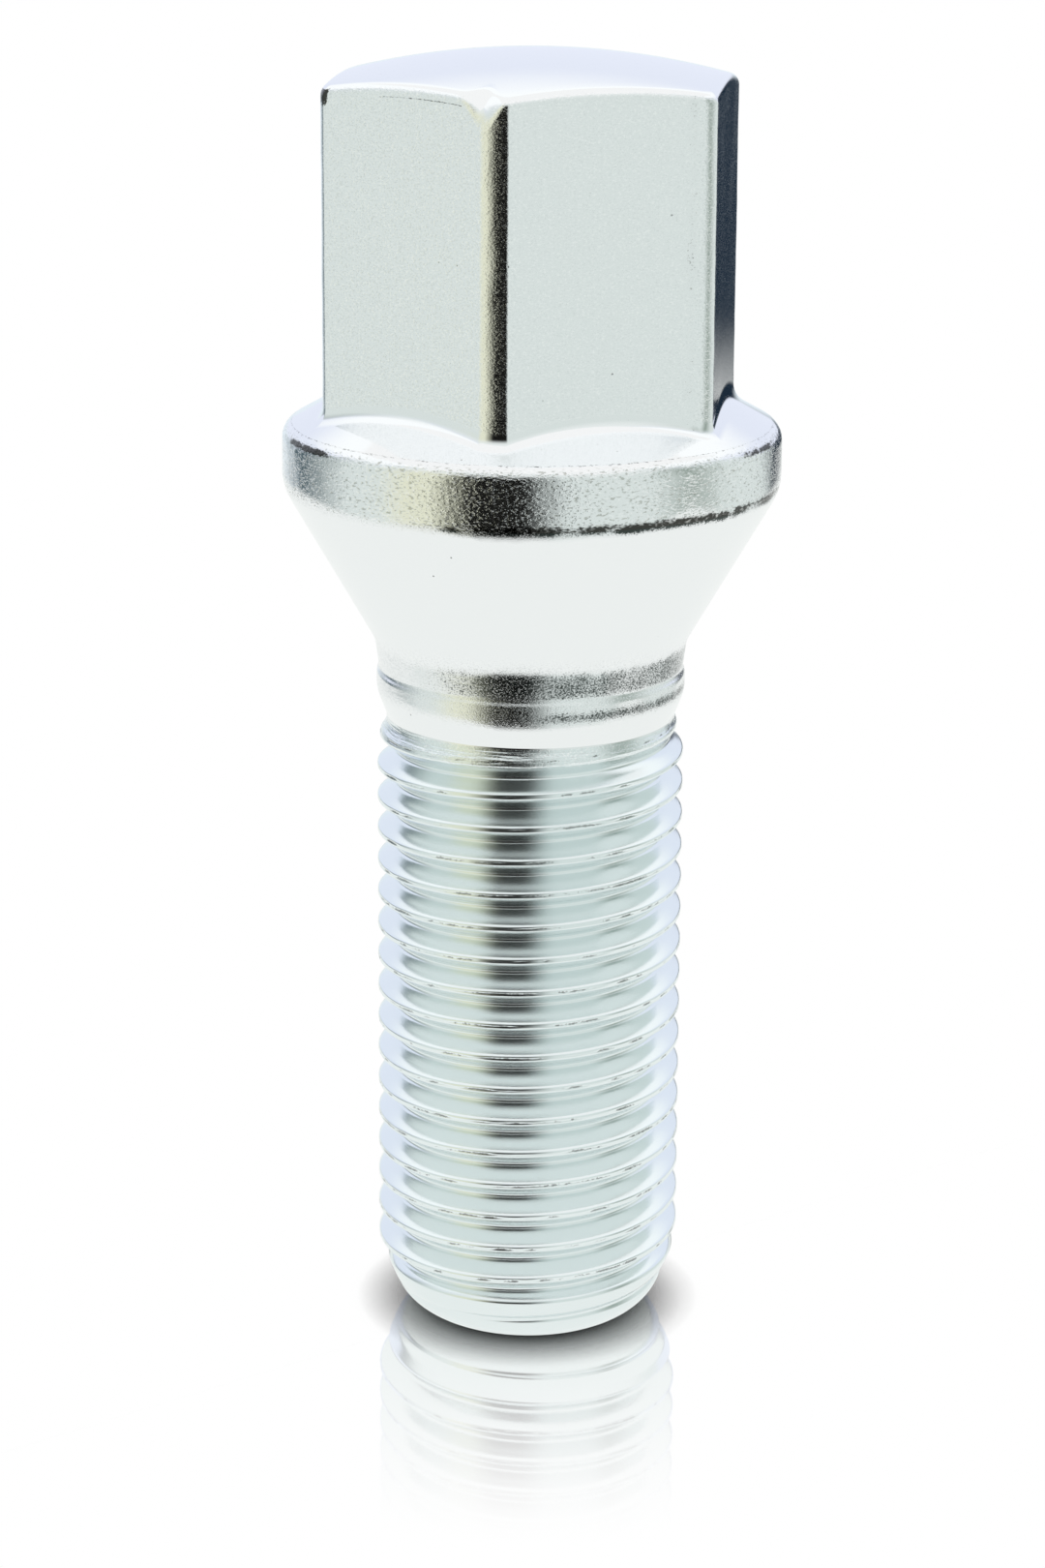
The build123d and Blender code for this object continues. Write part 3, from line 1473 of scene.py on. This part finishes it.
    def build_shades(self) -> bpy.types.NodeTree:
        """Group with the colour of the surroundings in a direction, and the distance where they are full."""
        sheet, given, result = start_group(
            "studio_shades",
            {"Vector": "Vector"},
            {"Color": "Color", "Reach": "Float"},
        )
        ahead = (0.0, 0.0, math.radians(90 - self.camera_azimuth))
        turn = sheet.add("ShaderNodeMapping", {"Vector": given["Vector"], "Rotation": ahead})
        round_about = sheet.add("ShaderNodeTexGradient", {"Vector": turn.outputs[0]}, gradient_type="RADIAL")
        ramp = sheet.add("ShaderNodeValToRGB", {"Fac": round_about.outputs["Fac"]})
        self.fill_ramp(ramp.color_ramp)
        sheet.join(ramp.outputs["Color"], result["Color"])
        sheet.join(ramp.outputs["Alpha"], result["Reach"])
        return sheet.tree

    def fill_ramp(self, ramp: bpy.types.ColorRamp) -> None:
        """Set the surroundings' colours by direction, with the camera's direction in the middle.

        Args:
            ramp: The ramp, from straight behind the bolt on the left round to straight behind it again.
        """
        ramp.elements[0].position = 0.0
        ramp.elements[-1].position = 1.0
        for card in self.cards[1:-1]:
            ramp.elements.new(0.5 + card.azimuth / 360)
        for element, card in zip(ramp.elements, self.cards):
            element.color = (*card.colour, card.reach / self.far_reach)

    def build_mat(self, shades: bpy.types.NodeTree) -> None:
        """Lay the ring of darker surroundings, which only glossy rays see from above.

        Args:
            shades: Group with the colours of the surroundings.
        """
        steps = self.mat_steps
        points = []
        for radius in (self.mat_inner, self.mat_outer):
            points += [around(radius, FULL_TURN * step / steps, self.mat_height) for step in range(steps)]
        faces = []
        for step in range(steps):
            after = (step + 1) % steps
            faces.append((step, steps + step, steps + after, after))
        mesh = bpy.data.meshes.new("studio_surroundings")
        mesh.from_pydata(points, [], faces)
        mesh.materials.append(self.mat_material(shades))
        mat = link_object("studio_surroundings", mesh)
        mat.visible_camera = False
        mat.visible_diffuse = False
        mat.visible_shadow = False
        log.info("studio_surroundings: %d cards", len(self.cards))

    def mat_material(self, shades: bpy.types.NodeTree) -> bpy.types.Material:
        """Material of the surroundings: each card's colour from its reach outwards, and clear from below.

        Args:
            shades: Group with the colours of the surroundings.

        Returns:
            The material.
        """
        material, sheet, surface = start_material("surroundings")
        path = sheet.add("ShaderNodeLightPath").outputs
        place = sheet.add("ShaderNodeTexCoord").outputs["Object"]
        card = sheet.add("ShaderNodeGroup", {"Vector": place}, node_tree=shades).outputs
        full = sheet.math("MULTIPLY", card["Reach"], self.far_reach)
        start = sheet.math("MULTIPLY", full, self.reach_start)
        cover = sheet.step(self.reach_of(sheet, place), start, full)
        above = sheet.math("SUBTRACT", 1.0, sheet.add("ShaderNodeNewGeometry").outputs["Backfacing"])
        glow_inputs = {"Color": card["Color"], "Strength": self.direct_share(sheet, path)}
        glow = sheet.add("ShaderNodeEmission", glow_inputs)
        clear = sheet.add("ShaderNodeBsdfTransparent")
        whole = sheet.shade(sheet.math("MULTIPLY", cover, above), clear, glow)
        sheet.join(whole.outputs[0], surface)
        return material

    def build_world(self, shades: bpy.types.NodeTree) -> None:
        """Set the soft even light: white to the camera, and in the metal faintly blue with a white top.

        Args:
            shades: Group with the colours of the surroundings, which rise above the floor in front.
        """
        world = bpy.data.worlds.new("studio_light")
        bpy.context.scene.world = world
        world.use_nodes = True
        sheet = NodeSheet(world.node_tree)
        light = sheet.tree.nodes["Background"].inputs
        path = sheet.add("ShaderNodeLightPath").outputs
        mirrored = self.mirror_share(sheet, path)
        white_share = sheet.math("MAXIMUM", path["Is Camera Ray"], mirrored)
        plain = sheet.blend(white_share, [self.fill_light] * 3, [1.0] * 3)
        in_metal = sheet.math("SUBTRACT", path["Is Glossy Ray"], mirrored)
        sheet.join(sheet.blend(in_metal, plain, self.metal_sky(sheet, shades)), light["Color"])
        later = sheet.math("SUBTRACT", 1.0, self.direct_share(sheet, path))
        lost = sheet.math("MULTIPLY", path["Is Glossy Ray"], later)
        sheet.join(sheet.math("SUBTRACT", 1.0, lost), light["Strength"])

    def metal_sky(self, sheet: NodeSheet, shades: bpy.types.NodeTree) -> bpy.types.NodeSocket:
        """Sky that the metal shows, with the surroundings along its foot.

        Args:
            sheet: The world's sheet.
            shades: Group with the colours of the surroundings.

        Returns:
            The sky's colour.
        """
        place = sheet.add("ShaderNodeTexCoord").outputs["Generated"]
        height = sheet.add("ShaderNodeSeparateXYZ", {"Vector": place}).outputs["Z"]
        azimuth = math.radians(self.camera_azimuth)
        ahead = (math.sin(azimuth), -math.cos(azimuth), 0.0)
        facing = sheet.add("ShaderNodeVectorMath", {0: place, 1: ahead}, operation="DOT_PRODUCT")
        front = facing.outputs["Value"]
        front_share = sheet.step(front, *self.front_change)
        low_sky = sheet.blend(front_share, self.sky_colour, self.front_colour)
        limits = []
        for behind, before in zip(self.top_change, self.front_top_change):
            limits.append(sheet.math("ADD", sheet.math("MULTIPLY", front_share, before - behind), behind))
        sky = sheet.blend(sheet.step(height, *limits), low_sky, self.top_colour)
        wall_share = sheet.step(front, *self.wall_change)
        wall_top = sheet.math("MULTIPLY", wall_share, self.wall_rise)
        fade = sheet.math("ADD", sheet.math("MULTIPLY", wall_share, self.wall_blend), self.back_blend)
        clear = sheet.step(height, wall_top, sheet.math("ADD", wall_top, fade))
        card = sheet.add("ShaderNodeGroup", {"Vector": place}, node_tree=shades).outputs
        return sheet.blend(clear, card["Color"], sky)

    def build_lamp(self) -> None:
        """Hang the soft box over the bolt, which the metal shows as part of the sky."""
        data = bpy.data.lights.new("soft_box", "AREA")
        data.shape = "SQUARE"
        data.size = self.lamp_size
        data.energy = self.lamp_power * self.lamp_size**2 * math.pi
        lamp = link_object("soft_box", data)
        lamp.location = (0.0, 0.0, self.lamp_height)
        lamp.visible_glossy = False
        lamp.visible_camera = False


def main() -> None:
    """Build the bolt around its frame, then the studio around the bolt."""
    logging.basicConfig(level=logging.INFO, format="%(name)s: %(message)s")
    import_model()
    _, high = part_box(NODE)
    thread = RolledThread(RoundedTip())
    body = ForgedBody(collar_r=high.x / MM, head_top=high.z / MM, neck_r=thread.neck_r)
    bolt = WheelBolt(thread, body)
    piece = bolt.build()
    bolt.dress(piece)
    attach(piece, "root")
    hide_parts(NODE)
    camera = StudioCamera()
    camera.build()
    Studio(camera.azimuth).build()


if __name__ == "__main__":
    main()
